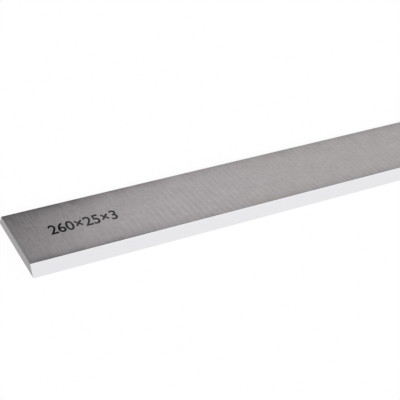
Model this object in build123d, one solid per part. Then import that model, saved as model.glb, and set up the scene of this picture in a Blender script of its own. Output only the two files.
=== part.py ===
from build123d import *
import math
import os

# Driving dimensions, in millimetres and degrees
KNIFE_LENGTH = 260.0
KNIFE_WIDTH = 25.0
KNIFE_THICKNESS = 3.0
# Angle between the bevel and the flat face that ends in the cutting edge
BEVEL_ANGLE = 40.0
# Legs of the small breaks that take the burr off the square edges
BACK_EDGE_BREAK = 0.15
END_EDGE_BREAK = 0.1


# Frame: the knife lies on its flat face, with its length along X.
# The cutting edge faces -Y, and the origin is below the middle of the knife.
CUTTING_EDGE_Y = -KNIFE_WIDTH / 2
BACK_EDGE_Y = KNIFE_WIDTH / 2
BEVEL_RUN = KNIFE_THICKNESS / math.tan(math.radians(BEVEL_ANGLE))
BEVEL_HEEL_Y = CUTTING_EDGE_Y + BEVEL_RUN


def ground_section():
    """The cross-section: a flat bar whose front is one bevel over the whole thickness."""
    outline = Polyline(
        (CUTTING_EDGE_Y, 0),
        (BACK_EDGE_Y, 0),
        (BACK_EDGE_Y, KNIFE_THICKNESS),
        (BEVEL_HEEL_Y, KNIFE_THICKNESS),
        close=True,
    )
    return Plane.YZ * make_face(outline)


def knife_bar():
    """The section run out to the full length, half each way from the middle."""
    return extrude(ground_section(), KNIFE_LENGTH / 2, both=True)


def back_arrises(bar):
    """The two long edges of the square back."""
    return bar.edges().filter_by(Axis.X).group_by(Axis.Y)[-1]


def end_arrises(bar):
    """The edges round both ends, apart from the ones where the bevel runs out."""
    bevel = bar.faces().sort_by(Axis.Y)[0]
    ends = bar.faces().filter_by(Axis.X)
    return [edge for edge in ends.edges() if edge not in bevel.edges()]


def planer_knife():
    """The knife, with its square edges broken and its cutting edge left keen."""
    bar = knife_bar()
    bar = chamfer(back_arrises(bar), BACK_EDGE_BREAK)
    return chamfer(end_arrises(bar), END_EDGE_BREAK)


def main():
    os.makedirs("parts", exist_ok=True)
    export_step(planer_knife(), "parts/planer_knife.step")


main()
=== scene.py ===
import math
from collections import namedtuple

import bmesh
import bpy
from mathutils import Matrix, Vector

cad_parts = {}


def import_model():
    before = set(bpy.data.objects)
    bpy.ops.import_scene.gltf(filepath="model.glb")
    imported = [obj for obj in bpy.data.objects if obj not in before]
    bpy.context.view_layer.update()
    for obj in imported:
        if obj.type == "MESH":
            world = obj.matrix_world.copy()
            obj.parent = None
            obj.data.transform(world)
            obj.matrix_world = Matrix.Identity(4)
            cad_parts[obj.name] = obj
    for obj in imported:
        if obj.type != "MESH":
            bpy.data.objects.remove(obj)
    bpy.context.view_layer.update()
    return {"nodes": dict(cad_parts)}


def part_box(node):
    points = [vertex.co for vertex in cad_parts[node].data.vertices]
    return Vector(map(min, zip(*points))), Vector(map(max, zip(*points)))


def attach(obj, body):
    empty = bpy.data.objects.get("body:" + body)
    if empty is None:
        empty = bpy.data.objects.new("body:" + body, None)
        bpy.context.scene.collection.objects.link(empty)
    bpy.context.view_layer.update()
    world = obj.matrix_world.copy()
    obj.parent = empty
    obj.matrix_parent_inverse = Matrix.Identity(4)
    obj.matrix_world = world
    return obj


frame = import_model()

MM = 0.001
KNIFE = frame["nodes"]["planer_knife"]
LOW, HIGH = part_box("planer_knife")
TOP_Z = HIGH.z
EDGE_Y = LOW.y
BACK_Y = HIGH.y
# Points this close to the top are on the upper face
CLOSE_TO_TOP = 0.001 * MM
HEEL_Y = min(v.co.y for v in KNIFE.data.vertices if v.co.z > TOP_Z - CLOSE_TO_TOP)

# The photograph's camera, fitted to the knife's straight edges, with its angles in degrees
PICTURE_PIXELS = 400
SENSOR_WIDTH = 36.0
FOCAL_PIXELS = 1371.2
CAMERA_AZIMUTH = -45.97
CAMERA_ELEVATION = 42.67
CAMERA_ROLL = 20.92
CAMERA_DISTANCE = 478.9 * MM
AIM = Vector((-57.42 * MM, 1.54 * MM, 0))
NEAREST_SEEN = 10 * MM

# Brightness of the white surround, where 1 is white: as it is seen, and as it lights dull surfaces
WHITE = 1.0
WORLD_ON_DULL_SURFACES = 0.4
# Soft patches of the studio that the steel mirrors. Azimuth and elevation say where each one is. It is full
# inside its core and ends at its rim, all in degrees, and it changes the white by a share
StudioPatch = namedtuple("StudioPatch", "azimuth elevation core rim change")
STUDIO_PATCHES = (
    StudioPatch(152.2, 44, 7.2, 8.7, -0.92),
    StudioPatch(95, 30, 5, 45, -0.1),
    StudioPatch(44, 38, 14, 34, 0.165),
    StudioPatch(232, 34, 2, 22, -0.3),
    StudioPatch(322, 34, 2, 22, -0.3),
    StudioPatch(7, 18, 2, 20, -0.25),
    StudioPatch(276, 24, 2, 20, -0.25),
    StudioPatch(190, 20, 2, 18, -0.25),
    StudioPatch(90, 78, 2, 16, -0.3),
    StudioPatch(205, 48, 2, 24, -0.35),
    StudioPatch(14, 48, 2, 17, -0.3),
)
# The light that gives the shadow, with its place and its spread in degrees
KEY_AZIMUTH = -40
KEY_ELEVATION = 50
KEY_SOFTNESS = 40
KEY_STRENGTH = 2.44
# The floor is grey under the lights. Where it is seen, a share of an even glow lifts it to white
FLOOR_COLOUR = 0.8
FLOOR_LIFT = 0.65
FLOOR_GLOW = 1.107
FLOOR_HALF = 6.0

# Unevenness of the steel. Its depth is how far it swings the tone, or whatever else its name says. Lines
# have a pitch, a length and a lean. Patches have a size, a number that gives them a pattern of their own,
# and a squeeze across the knife. The noise behind both has a number of layers of finer detail
Lines = namedtuple("Lines", "pitch length depth lean", defaults=(0, 0))
Patches = namedtuple("Patches", "size depth number squeeze", defaults=(0, 1.0))
NOISE_DETAIL = 2.0

# The wide faces: a cool grey that turns warm along the knife, with some violet. This grey is darker than
# the bevel's partly as painted shade
FLAT_COLOUR = (0.410, 0.387, 0.393)
FLAT_COLOUR_WARM = (0.412, 0.387, 0.385)
FLAT_COLOUR_VIOLET = (0.413, 0.387, 0.403)
FLAT_ROUGHNESS = 0.2
WARM_FROM = LOW.x + 50 * MM
WARM_IN_FULL = LOW.x + 130 * MM
WARM_WANDER = Patches(size=9 * MM, depth=40 * MM, number=3)
VIOLET_REACH = 5 * MM
VIOLET_MOTTLE = Patches(size=6 * MM, depth=0.8, number=11)
# Painted shade: their long borders are darker, more so near the left end
BACK_SHADE = 0.25
BACK_SHADE_REACH = 2.2 * MM
BACK_SHADE_MORE_AT_LEFT = 1.1
BACK_LEFT_FROM = LOW.x + 80 * MM
BACK_LEFT_IN_FULL = LOW.x + 25 * MM
FRONT_SHADE = 0.25
FRONT_SHADE_REACH = 1.6 * MM
FRONT_SHADE_MORE_AT_LEFT = 0.9
FRONT_LEFT_FROM = LOW.x + 60 * MM
FRONT_LEFT_IN_FULL = LOW.x + 40 * MM
SHADE_PATCHES = Patches(size=7 * MM, depth=0.8)
# Grinding lines run across their width, between patches of several sizes
FINE_LINES = Lines(pitch=0.42 * MM, length=7 * MM, depth=0.055)
BROAD_LINES = Lines(pitch=0.9 * MM, length=5.5 * MM, depth=0.075)
BANDS = Patches(size=9 * MM, depth=0.06, number=9, squeeze=3.0)
CLOUDS = Patches(size=4 * MM, depth=0.06, number=13)
BLOTCHES = Patches(size=1.0 * MM, depth=0.12, number=5, squeeze=0.7)
SPECKLE = Patches(size=0.4 * MM, depth=0.08, number=7)

# Marks of the grinding wheel: evenly spaced soft lines, whose pitch and lean swing a little along the knife
WHEEL_DEPTH = 0.04
WHEEL_PITCH = 2.4 * MM
WHEEL_PITCH_SWING = 0.07
WHEEL_LEAN = 0.24
WHEEL_LEAN_SWING = 0.11
SWING_CENTRE = -37 * MM
SWING_LENGTH = 260 * MM
WHEEL_WANDER = Patches(size=12 * MM, depth=0.2)
# They begin weak and square to the length near the left end, and weaken a little before the middle
WHEEL_BEGINS = LOW.x + 18 * MM
WHEEL_IN_FULL = LOW.x + 58 * MM
WHEEL_AT_LEFT = 0.25
WHEEL_WEAKENS = LOW.x + 70 * MM
WHEEL_WEAKENED = LOW.x + 115 * MM
WHEEL_AT_RIGHT = 0.7
# They are stronger in patches, and in the half towards the bevel
WHEEL_PATCHES = Patches(size=26 * MM, depth=1.0, number=11, squeeze=2.5)
WHEEL_PATCH_RANGE = 0.4
WHEEL_BETWEEN_PATCHES = 0.35
WHEEL_IN_PATCHES = 1.1
WHEEL_BACK_HALF = 0.75
WHEEL_FRONT_HALF = 1.2
WHEEL_FRONT_FROM = EDGE_Y + 15 * MM
WHEEL_FRONT_IN_FULL = EDGE_Y + 8 * MM
# Lines at half the pitch lie between them, mostly outside the patches
HALF_PITCH_BETWEEN_PATCHES = 0.45
HALF_PITCH_IN_PATCHES = 0.1

# The bevel, bright and nearly even, partly as a painted reflection of the bright studio, with a brighter
# line along its heel that is a painted highlight
BEVEL_COLOUR = (0.708, 0.705, 0.729)
BEVEL_ROUGHNESS = 0.2
BEVEL_LINES = Lines(pitch=0.25 * MM, length=5 * MM, depth=0.008, lean=0.1)
# Painted highlight: the bevel is lighter just below its heel
HEEL_PAINTED_HIGHLIGHT = 0.05
HEEL_PAINTED_HIGHLIGHT_REACH = 0.3 * MM

# The square ends, the back and the broken edges
END_COLOUR = (0.368, 0.363, 0.363)
END_ROUGHNESS = 0.36
END_LINES = Lines(pitch=0.2 * MM, length=3 * MM, depth=0.05, lean=0.3)
END_CLOUD_SIZE = 1.5 * MM
END_CLOUD_DEPTH = 0.05
BACK_ROUGHNESS = 0.34
BACK_LINES = Lines(pitch=0.15 * MM, length=12 * MM, depth=0.06, lean=0.02)
# Painted shade: the broken edges are darker than the faces beside them
BREAK_COLOUR = (0.3, 0.295, 0.297)
BREAK_ROUGHNESS = 0.3

# How far the lines swing the roughness, and how deep they are cut
FINE_ROUGHNESS_SWING = 0.03
COARSE_ROUGHNESS_SWING = 0.04
CUT_STRENGTH = 0.5
CUT_DEPTH = 0.004 * MM
SCRATCHES = Lines(pitch=0.2 * MM, length=10 * MM)
SCRATCH_DETAIL = 3.0
BROAD_LINES_CUT = 0.3

# The knife's length, width and thickness in millimetres, as plain figures on the upper face
MARK_TEXT = "×".join(f"{side / MM:g}" for side in HIGH - LOW)
MARK_LEFT = LOW.x + 12.45 * MM
MARK_LENGTH = 25.6 * MM
MARK_BASE = EDGE_Y + 12.65 * MM
MARK_HEIGHT = 4.05 * MM
MARK_BOLDER = 0.017
MARK_CURVE_STEPS = 6
MARK_STANDS_OUT = 0.01 * MM
MARK_SUNK = 0.02 * MM
INK_COLOUR = (0.002, 0.002, 0.002)
# The paler black that painted reflection and patches of wear blend towards
INK_COLOUR_WEAR_AND_REFLECTION = (0.038, 0.038, 0.038)
INK_ROUGHNESS = 0.5
INK_ROUGHNESS_SWING = 0.05
INK_SHINE = 0.04
# Painted reflection: the figures grow paler from here to the right
INK_REFLECTION_FROM = MARK_LEFT + 1 * MM
INK_REFLECTION_IN_FULL = MARK_LEFT + 12 * MM
INK_PATCH_SIZE = 0.4 * MM
INK_PATCH_WEAR = 0.25


def direction(azimuth, elevation):
    """A unit vector from angles in degrees, where azimuth 0 is towards the front and 90 to the right."""
    turn = math.radians(azimuth)
    lift = math.radians(elevation)
    return Vector((math.sin(turn) * math.cos(lift), -math.cos(turn) * math.cos(lift), math.sin(lift)))


def feed(tree, socket, value):
    """Gives a shader node's input a number, a colour of three numbers, or another node's socket."""
    if isinstance(value, bpy.types.NodeSocket):
        tree.links.new(value, socket)
    elif socket.type == "RGBA":
        socket.default_value = (*value, 1.0)
    else:
        socket.default_value = value


def node(tree, kind, inputs=None, **settings):
    """Adds a shader node with its settings and inputs."""
    made = tree.nodes.new(kind)
    for name, value in settings.items():
        setattr(made, name, value)
    for key, value in (inputs or {}).items():
        feed(tree, made.inputs[key], value)
    return made


def maths(tree, operation, first, second=0.0, third=0.0):
    """The result of one arithmetic step on numbers or sockets."""
    values = {0: first, 1: second, 2: third}
    return node(tree, "ShaderNodeMath", values, operation=operation).outputs[0]


def times(tree, first, second):
    """The product of two numbers or sockets."""
    return maths(tree, "MULTIPLY", first, second)


def minus(tree, first, second):
    """The first number or socket less the second."""
    return maths(tree, "SUBTRACT", first, second)


def added(tree, *parts):
    """The sum of several numbers or sockets."""
    total = parts[0]
    for part in parts[1:]:
        total = maths(tree, "ADD", total, part)
    return total


def blended(tree, share, first, second):
    """A number that goes from first to second with share."""
    return maths(tree, "MULTIPLY_ADD", share, minus(tree, second, first), first)


def coloured(tree, share, first, second):
    """A colour that goes from first to second with share."""
    # The node's sockets for colours are inputs 6 and 7 and output 2
    return node(tree, "ShaderNodeMix", {0: share, 6: first, 7: second}, data_type="RGBA").outputs[2]


def tinted(tree, colour, shade):
    """A colour times a number."""
    return node(tree, "ShaderNodeVectorMath", {0: colour, 1: shade}, operation="MULTIPLY").outputs[0]


def ramp(tree, value, start, end):
    """A smooth rise from 0 at start to 1 at end."""
    steps = {"Value": value, "From Min": start, "From Max": end, "To Min": 0.0, "To Max": 1.0}
    return node(tree, "ShaderNodeMapRange", steps, interpolation_type="SMOOTHSTEP").outputs[0]


def new_material(name):
    """A material with an empty node tree."""
    material = bpy.data.materials.new(name)
    material.use_nodes = True
    material.node_tree.nodes.clear()
    return material, material.node_tree


def grey(value):
    """A colour without a tint."""
    return (value, value, value)


def point(tree, x, y, z=0.0):
    """A vector from three numbers or sockets."""
    return node(tree, "ShaderNodeCombineXYZ", {0: x, 1: y, 2: z}).outputs[0]


def grain(tree, place, size, detail=NOISE_DETAIL):
    """Noise about zero, within -1 and 1, whose patches measure about size."""
    noise = node(tree, "ShaderNodeTexNoise", {"Vector": place, "Scale": 1 / size, "Detail": detail})
    return maths(tree, "MULTIPLY_ADD", noise.outputs[0], 2.0, -1.0)


def patchy(tree, x, y, patches):
    """Noise in patches over a wide face, times their depth."""
    place = point(tree, x, times(tree, y, patches.squeeze), patches.number * MM)
    return times(tree, grain(tree, place, patches.size), patches.depth)


def streaks(tree, across, along, lines, detail=NOISE_DETAIL):
    """Noise drawn out into lines, which turn away from the along direction by their lean."""
    leaning = maths(tree, "MULTIPLY_ADD", along, lines.lean, across)
    drawn_out = times(tree, along, lines.pitch / lines.length)
    return grain(tree, point(tree, leaning, drawn_out), lines.pitch, detail)


def fading(tree, distance, depth, reach):
    """A value that falls off from depth, with the distance from a border."""
    left_over = maths(tree, "EXPONENT", times(tree, distance, -1 / reach))
    return times(tree, left_over, depth)


def near_back_left(tree, x):
    """1 where the back border is darkest, near the left end, and 0 away from it."""
    return ramp(tree, x, BACK_LEFT_FROM, BACK_LEFT_IN_FULL)


def painted_border_shade(tree, x, y, facing_z):
    """The share of the tone that painted shade takes from a wide face near its two long borders."""
    from_back = minus(tree, BACK_Y, y)
    at_back = fading(tree, from_back, BACK_SHADE, BACK_SHADE_REACH)
    at_back = times(tree, at_back, blended(tree, near_back_left(tree, x), 1.0, 1 + BACK_SHADE_MORE_AT_LEFT))

    is_upper = maths(tree, "GREATER_THAN", facing_z, 0)
    from_front = minus(tree, y, blended(tree, is_upper, EDGE_Y, HEEL_Y))
    near_left = ramp(tree, x, FRONT_LEFT_FROM, FRONT_LEFT_IN_FULL)
    at_front = fading(tree, from_front, FRONT_SHADE, FRONT_SHADE_REACH)
    at_front = times(tree, at_front, blended(tree, near_left, 1.0, 1 + FRONT_SHADE_MORE_AT_LEFT))
    return times(tree, added(tree, at_front, at_back), added(tree, 1.0, patchy(tree, x, y, SHADE_PATCHES)))


def flat_tint(tree, x, y):
    """The wide faces' grey: cool, then warm along the knife, and violet in patches and at the back left."""
    wandering = added(tree, x, patchy(tree, x, y, WARM_WANDER))
    tint = coloured(tree, ramp(tree, wandering, WARM_FROM, WARM_IN_FULL), FLAT_COLOUR, FLAT_COLOUR_WARM)
    near_back = fading(tree, minus(tree, BACK_Y, y), 1.0, VIOLET_REACH)
    violet = times(tree, near_back_left(tree, x), near_back)
    violet = added(tree, violet, patchy(tree, x, y, VIOLET_MOTTLE))
    return coloured(tree, violet, tint, FLAT_COLOUR_VIOLET)


def across_grinding(tree, x, y):
    """The coordinate across the grinding lines, whose lean and pitch swing along the knife."""
    swing = times(tree, minus(tree, x, SWING_CENTRE), math.tau / SWING_LENGTH)
    stretch = times(tree, maths(tree, "COSINE", swing), -WHEEL_PITCH_SWING * SWING_LENGTH / math.tau)
    lean = maths(tree, "MULTIPLY_ADD", maths(tree, "SINE", swing), WHEEL_LEAN_SWING, WHEEL_LEAN)
    lean = times(tree, lean, ramp(tree, x, WHEEL_BEGINS, WHEEL_IN_FULL))
    return added(tree, x, stretch, times(tree, lean, y))


def wheel_strength(tree, x, y, patches):
    """How strong the wheel marks are from place to place."""
    begun = ramp(tree, x, WHEEL_BEGINS, WHEEL_IN_FULL)
    weakened = ramp(tree, x, WHEEL_WEAKENS, WHEEL_WEAKENED)
    front = ramp(tree, y, WHEEL_FRONT_FROM, WHEEL_FRONT_IN_FULL)
    strength = blended(tree, patches, WHEEL_BETWEEN_PATCHES, WHEEL_IN_PATCHES)
    strength = times(tree, strength, blended(tree, front, WHEEL_BACK_HALF, WHEEL_FRONT_HALF))
    strength = times(tree, strength, blended(tree, begun, WHEEL_AT_LEFT, 1.0))
    return times(tree, strength, blended(tree, weakened, 1.0, WHEEL_AT_RIGHT))


def wheel_marks(tree, x, y, across):
    """The grinding wheel's lines, as a wave about zero."""
    wander = patchy(tree, x, y, WHEEL_WANDER)
    turns = times(tree, maths(tree, "MULTIPLY_ADD", across, 1 / WHEEL_PITCH, wander), math.tau)
    patches = ramp(tree, patchy(tree, x, y, WHEEL_PATCHES), -WHEEL_PATCH_RANGE, WHEEL_PATCH_RANGE)
    whole = times(tree, maths(tree, "SINE", turns), wheel_strength(tree, x, y, patches))
    half_strength = blended(tree, patches, HALF_PITCH_BETWEEN_PATCHES, HALF_PITCH_IN_PATCHES)
    halves = times(tree, maths(tree, "SINE", times(tree, turns, 2.0)), half_strength)
    return added(tree, whole, halves)


def flat_finish_and_painted_shade(tree, x, y, facing_z):
    """The wide faces: grinding lines and patches, with painted shade that darkens them towards the long
    borders.
    """
    across = across_grinding(tree, x, y)
    fine = streaks(tree, across, y, FINE_LINES)
    broad = streaks(tree, across, y, BROAD_LINES)
    shade = added(
        tree, 1.0,
        times(tree, wheel_marks(tree, x, y, across), WHEEL_DEPTH),
        times(tree, fine, FINE_LINES.depth),
        times(tree, broad, BROAD_LINES.depth),
        patchy(tree, x, y, BANDS),
        patchy(tree, x, y, CLOUDS),
        patchy(tree, across, y, BLOTCHES),
        patchy(tree, x, y, SPECKLE),
    )
    # Painted shade darkens the tone towards the long borders
    shade = times(tree, shade, minus(tree, 1.0, painted_border_shade(tree, x, y, facing_z)))
    colour = tinted(tree, flat_tint(tree, x, y), shade)
    roughness = maths(tree, "MULTIPLY_ADD", added(tree, fine, broad), FINE_ROUGHNESS_SWING, FLAT_ROUGHNESS)
    scratches = streaks(tree, across, y, SCRATCHES, SCRATCH_DETAIL)
    height = maths(tree, "MULTIPLY_ADD", broad, BROAD_LINES_CUT, scratches)
    return colour, roughness, height


def bevel_finish_and_painted_highlight(tree, x, y):
    """The bevel: fine lines from its heel to the cutting edge, and a painted highlight along the heel."""
    lines = streaks(tree, x, y, BEVEL_LINES)
    # Painted highlight along the heel
    painted_highlight = fading(tree, minus(tree, HEEL_Y, y), HEEL_PAINTED_HIGHLIGHT, HEEL_PAINTED_HIGHLIGHT_REACH)
    shade = added(tree, 1.0, times(tree, lines, BEVEL_LINES.depth), painted_highlight)
    roughness = maths(tree, "MULTIPLY_ADD", lines, FINE_ROUGHNESS_SWING, BEVEL_ROUGHNESS)
    return tinted(tree, BEVEL_COLOUR, shade), roughness, lines


def end_finish(tree, x, y, z):
    """The square ends: short lines through the thickness, and small clouds."""
    lines = streaks(tree, y, z, END_LINES)
    clouds = times(tree, grain(tree, point(tree, x, y, z), END_CLOUD_SIZE), END_CLOUD_DEPTH)
    shade = added(tree, 1.0, times(tree, lines, END_LINES.depth), clouds)
    roughness = maths(tree, "MULTIPLY_ADD", lines, COARSE_ROUGHNESS_SWING, END_ROUGHNESS)
    return tinted(tree, END_COLOUR, shade), roughness, lines


def back_finish(tree, x, z):
    """The back: long lines along the knife."""
    lines = streaks(tree, z, x, BACK_LINES)
    shade = added(tree, 1.0, times(tree, lines, BACK_LINES.depth))
    roughness = maths(tree, "MULTIPLY_ADD", lines, COARSE_ROUGHNESS_SWING, BACK_ROUGHNESS)
    return tinted(tree, END_COLOUR, shade), roughness, lines


def steel():
    """Ground tool steel, with a finish of its own on each kind of face. Their greys differ partly as
    painted light: the bevel paler, the wide faces and the broken edges darker.
    """
    material, tree = new_material("ground_steel")
    where = node(tree, "ShaderNodeTexCoord").outputs
    x, y, z = node(tree, "ShaderNodeSeparateXYZ", {0: where["Object"]}).outputs
    facing_x, facing_y, facing_z = node(tree, "ShaderNodeSeparateXYZ", {0: where["Normal"]}).outputs
    # A face counts as square to an axis, or as halfway, from this share of its unit normal on
    squarely = 0.9
    halfway = 0.5
    is_flat = maths(tree, "GREATER_THAN", maths(tree, "ABSOLUTE", facing_z), squarely)
    is_bevel = maths(tree, "LESS_THAN", facing_y, -halfway)
    is_end = maths(tree, "GREATER_THAN", maths(tree, "ABSOLUTE", facing_x), squarely)
    is_back = maths(tree, "GREATER_THAN", facing_y, squarely)
    # Each finish is a colour, a roughness and the height of its lines
    finishes = (
        (is_flat, flat_finish_and_painted_shade(tree, x, y, facing_z)),
        (is_bevel, bevel_finish_and_painted_highlight(tree, x, y)),
        (is_end, end_finish(tree, x, y, z)),
        (is_back, back_finish(tree, x, z)),
    )
    # What is none of these is a broken edge
    # The broken edges' darker grey is painted shade
    colour = BREAK_COLOUR
    roughness = BREAK_ROUGHNESS
    height = 0.0
    for mask, (face_colour, face_roughness, face_height) in finishes:
        colour = coloured(tree, mask, colour, face_colour)
        roughness = blended(tree, mask, roughness, face_roughness)
        height = blended(tree, mask, height, face_height)

    cut = {"Strength": CUT_STRENGTH, "Distance": CUT_DEPTH, "Height": height}
    shader = node(tree, "ShaderNodeBsdfPrincipled", {
        "Base Color": colour,
        "Metallic": 1.0,
        "Roughness": roughness,
        "Normal": node(tree, "ShaderNodeBump", cut).outputs[0],
    })
    node(tree, "ShaderNodeOutputMaterial", {0: shader.outputs[0]})
    return material


def mark_ink():
    """The black of the figures: dense on the left, paler to the right as a painted reflection, and worn in
    small patches.
    """
    material, tree = new_material("mark_black")
    place = node(tree, "ShaderNodeTexCoord").outputs["Object"]
    x, y = node(tree, "ShaderNodeSeparateXYZ", {0: place}).outputs[:2]
    patches = grain(tree, point(tree, x, y), INK_PATCH_SIZE)
    # Painted reflection pales the figures towards the right, and small patches of wear pale them too
    wear_and_reflection = maths(tree, "MULTIPLY_ADD", patches, INK_PATCH_WEAR, ramp(tree, x, INK_REFLECTION_FROM, INK_REFLECTION_IN_FULL))
    wear_and_reflection = maths(tree, "MAXIMUM", wear_and_reflection, 0.0)
    shader = node(tree, "ShaderNodeBsdfPrincipled", {
        "Base Color": coloured(tree, wear_and_reflection, INK_COLOUR, INK_COLOUR_WEAR_AND_REFLECTION),
        "Roughness": maths(tree, "MULTIPLY_ADD", patches, INK_ROUGHNESS_SWING, INK_ROUGHNESS),
        "Specular IOR Level": INK_SHINE,
    })
    node(tree, "ShaderNodeOutputMaterial", {0: shader.outputs[0]})
    return material


def flat_figures():
    """The figures as a flat mesh, in the text's own units."""
    text = bpy.data.curves.new("size_mark_text", "FONT")
    text.body = MARK_TEXT
    text.resolution_u = MARK_CURVE_STEPS
    text.offset = MARK_BOLDER
    carrier = bpy.data.objects.new("size_mark_text", text)
    bpy.context.scene.collection.objects.link(carrier)
    bpy.context.view_layer.update()
    ready = carrier.evaluated_get(bpy.context.evaluated_depsgraph_get())
    mesh = bpy.data.meshes.new_from_object(ready)
    bpy.data.objects.remove(carrier)
    return mesh


def lay_on_knife(figures):
    """Scales flat figures to the mark's size, and moves them to just under the upper face."""
    across = [v.co.x for v in figures.verts]
    up = [v.co.y for v in figures.verts]
    left = min(across)
    base = min(up)
    wider = MARK_LENGTH / (max(across) - left)
    higher = MARK_HEIGHT / (max(up) - base)
    for v in figures.verts:
        v.co.x = MARK_LEFT + (v.co.x - left) * wider
        v.co.y = MARK_BASE + (v.co.y - base) * higher
        v.co.z = TOP_Z - MARK_SUNK


def sort_faces(figures):
    """Puts the faces in the order of their places, because an extrusion's order changes from run to run."""
    in_place_order = sorted(figures.faces, key=lambda face: face.calc_center_median()[:])
    for number, face in enumerate(in_place_order):
        face.index = number
    figures.faces.sort()


def size_mark():
    """The figures as a thin closed mesh that stands just out of the upper face."""
    mesh = flat_figures()
    figures = bmesh.new()
    figures.from_mesh(mesh)
    lay_on_knife(figures)
    raised = bmesh.ops.extrude_face_region(figures, geom=figures.faces[:])
    for item in raised["geom"]:
        if isinstance(item, bmesh.types.BMVert):
            item.co.z = TOP_Z + MARK_STANDS_OUT
    bmesh.ops.recalc_face_normals(figures, faces=figures.faces[:])
    sort_faces(figures)
    figures.to_mesh(mesh)
    figures.free()
    mesh.materials.clear()
    mesh.materials.append(mark_ink())
    made = bpy.data.objects.new("size_mark", mesh)
    bpy.context.scene.collection.objects.link(made)
    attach(made, "root")


def seen_directly(tree, rays):
    """1 for what the camera, reflections and clear materials see, and 0 for light on dull surfaces."""
    seen = maths(tree, "MAXIMUM", rays["Is Camera Ray"], rays["Is Glossy Ray"])
    return maths(tree, "MAXIMUM", seen, rays["Is Transmission Ray"])


def studio_tone(tree):
    """The studio's brightness in each direction, as a share of the white: 1 but for a few soft patches."""
    towards = node(tree, "ShaderNodeTexCoord").outputs["Generated"]
    tone = 1.0
    for patch in STUDIO_PATCHES:
        centre = {0: towards, 1: direction(patch.azimuth, patch.elevation)}
        closeness = node(tree, "ShaderNodeVectorMath", centre, operation="DOT_PRODUCT").outputs["Value"]
        angle = maths(tree, "ARCCOSINE", closeness)
        outside = ramp(tree, angle, math.radians(patch.core), math.radians(patch.rim))
        tone = times(tree, tone, blended(tree, outside, 1 + patch.change, 1.0))
    return tone


def world():
    """A white surround, dimmer on dull surfaces, whose patches show only in reflections."""
    made = bpy.data.worlds.new("studio")
    bpy.context.scene.world = made
    made.use_nodes = True
    tree = made.node_tree
    tree.nodes.clear()
    rays = node(tree, "ShaderNodeLightPath").outputs
    strength = blended(tree, seen_directly(tree, rays), WORLD_ON_DULL_SURFACES, WHITE)
    strength = times(tree, strength, blended(tree, rays["Is Glossy Ray"], 1.0, studio_tone(tree)))
    light = node(tree, "ShaderNodeBackground", {0: grey(1.0), 1: strength})
    node(tree, "ShaderNodeOutputWorld", {0: light.outputs[0]})


def floor():
    """A pale floor that shows as white and keeps a third of the knife's soft shadow."""
    material, tree = new_material("pale_floor")
    dull = node(tree, "ShaderNodeBsdfDiffuse", {0: grey(FLOOR_COLOUR)})
    glow = node(tree, "ShaderNodeEmission", {0: grey(1.0), 1: FLOOR_GLOW})
    seen = seen_directly(tree, node(tree, "ShaderNodeLightPath").outputs)
    share = times(tree, seen, FLOOR_LIFT)
    both = node(tree, "ShaderNodeMixShader", {0: share, 1: dull.outputs[0], 2: glow.outputs[0]})
    node(tree, "ShaderNodeOutputMaterial", {0: both.outputs[0]})
    mesh = bpy.data.meshes.new("floor")
    corners = [(x * FLOOR_HALF, y * FLOOR_HALF, 0) for x, y in ((-1, -1), (1, -1), (1, 1), (-1, 1))]
    mesh.from_pydata(corners, [], [(0, 1, 2, 3)])
    mesh.materials.append(material)
    made = bpy.data.objects.new("floor", mesh)
    bpy.context.scene.collection.objects.link(made)


def key_light():
    """A broad soft light from the front left, for the shadow on the floor."""
    lamp = bpy.data.lights.new("key", "SUN")
    lamp.energy = KEY_STRENGTH
    lamp.angle = math.radians(KEY_SOFTNESS)
    made = bpy.data.objects.new("key", lamp)
    made.rotation_mode = "QUATERNION"
    made.rotation_quaternion = direction(KEY_AZIMUTH, KEY_ELEVATION).to_track_quat("Z", "Y")
    made.visible_camera = False
    made.visible_glossy = False
    bpy.context.scene.collection.objects.link(made)


def camera():
    """The photograph's viewpoint, with its roll."""
    back = direction(CAMERA_AZIMUTH, CAMERA_ELEVATION)
    lens = bpy.data.cameras.new("camera")
    lens.sensor_width = SENSOR_WIDTH
    lens.lens = FOCAL_PIXELS * SENSOR_WIDTH / PICTURE_PIXELS
    lens.clip_start = NEAREST_SEEN
    made = bpy.data.objects.new("camera", lens)
    level = (-back).to_track_quat("-Z", "Y").to_matrix()
    rolled = level @ Matrix.Rotation(math.radians(CAMERA_ROLL), 3, "Z")
    made.matrix_world = Matrix.Translation(AIM + back * CAMERA_DISTANCE) @ rolled.to_4x4()
    bpy.context.scene.collection.objects.link(made)
    bpy.context.scene.camera = made


camera()
world()
floor()
key_light()
KNIFE.material_slots[0].material = steel()
size_mark()
bpy.context.scene.view_settings.view_transform = "Standard"
